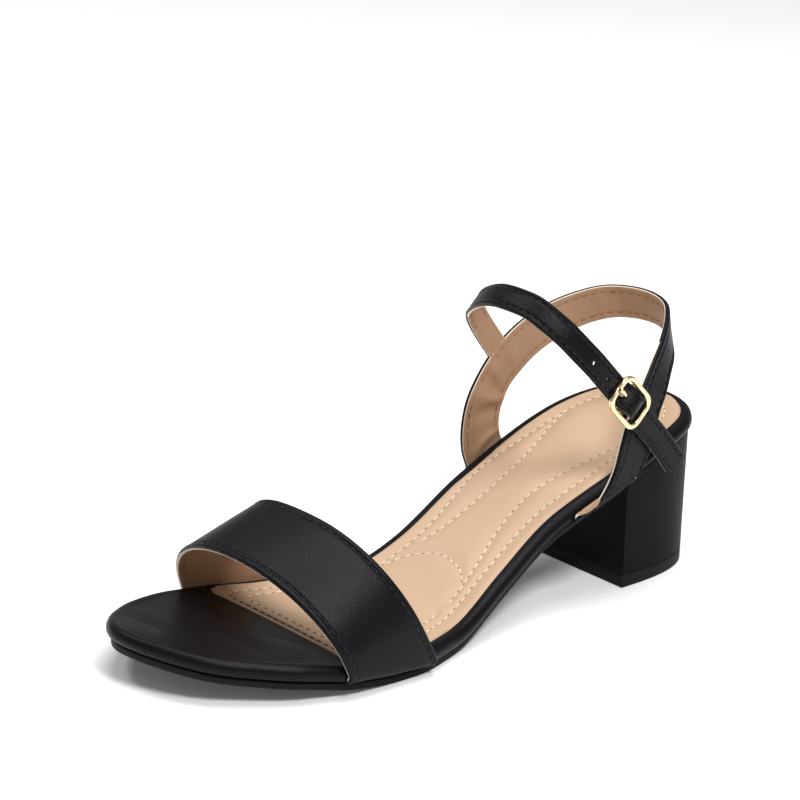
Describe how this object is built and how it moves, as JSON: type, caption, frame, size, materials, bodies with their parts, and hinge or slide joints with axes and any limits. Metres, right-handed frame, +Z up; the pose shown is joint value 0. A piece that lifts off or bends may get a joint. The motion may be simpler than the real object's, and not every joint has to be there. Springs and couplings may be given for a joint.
{
  "type": "block heel sandal",
  "caption": "Left open-toe sandal on a low block heel, with a wide front strap, a heel strap and a buckled ankle strap.",
  "frame": {"origin": "middle of the heel tip's flat face on the floor", "axes": "+X to the toe, +Y to the outer side of the foot, +Z up"},
  "size_m": [0.2285, 0.0855, 0.106],
  "materials": {
    "black_leather": "smooth black faux leather, satin, fine grain",
    "tan_insole": "tan faux leather, matt satin, stitched",
    "black_rubber": "black moulded rubber, matt",
    "pale_gold": "polished pale champagne gold plating"
  },
  "bodies": {
    "root": {"heel_tip": "black_rubber", "heel": "black_leather", "outsole": "black_rubber", "footbed": "black_leather", "insole": "tan_insole", "front_strap": "black_leather", "back_and_ankle_strap": "black_leather", "buckle": "pale_gold", "buckle_prong": "pale_gold"}
  },
  "joints": []
}
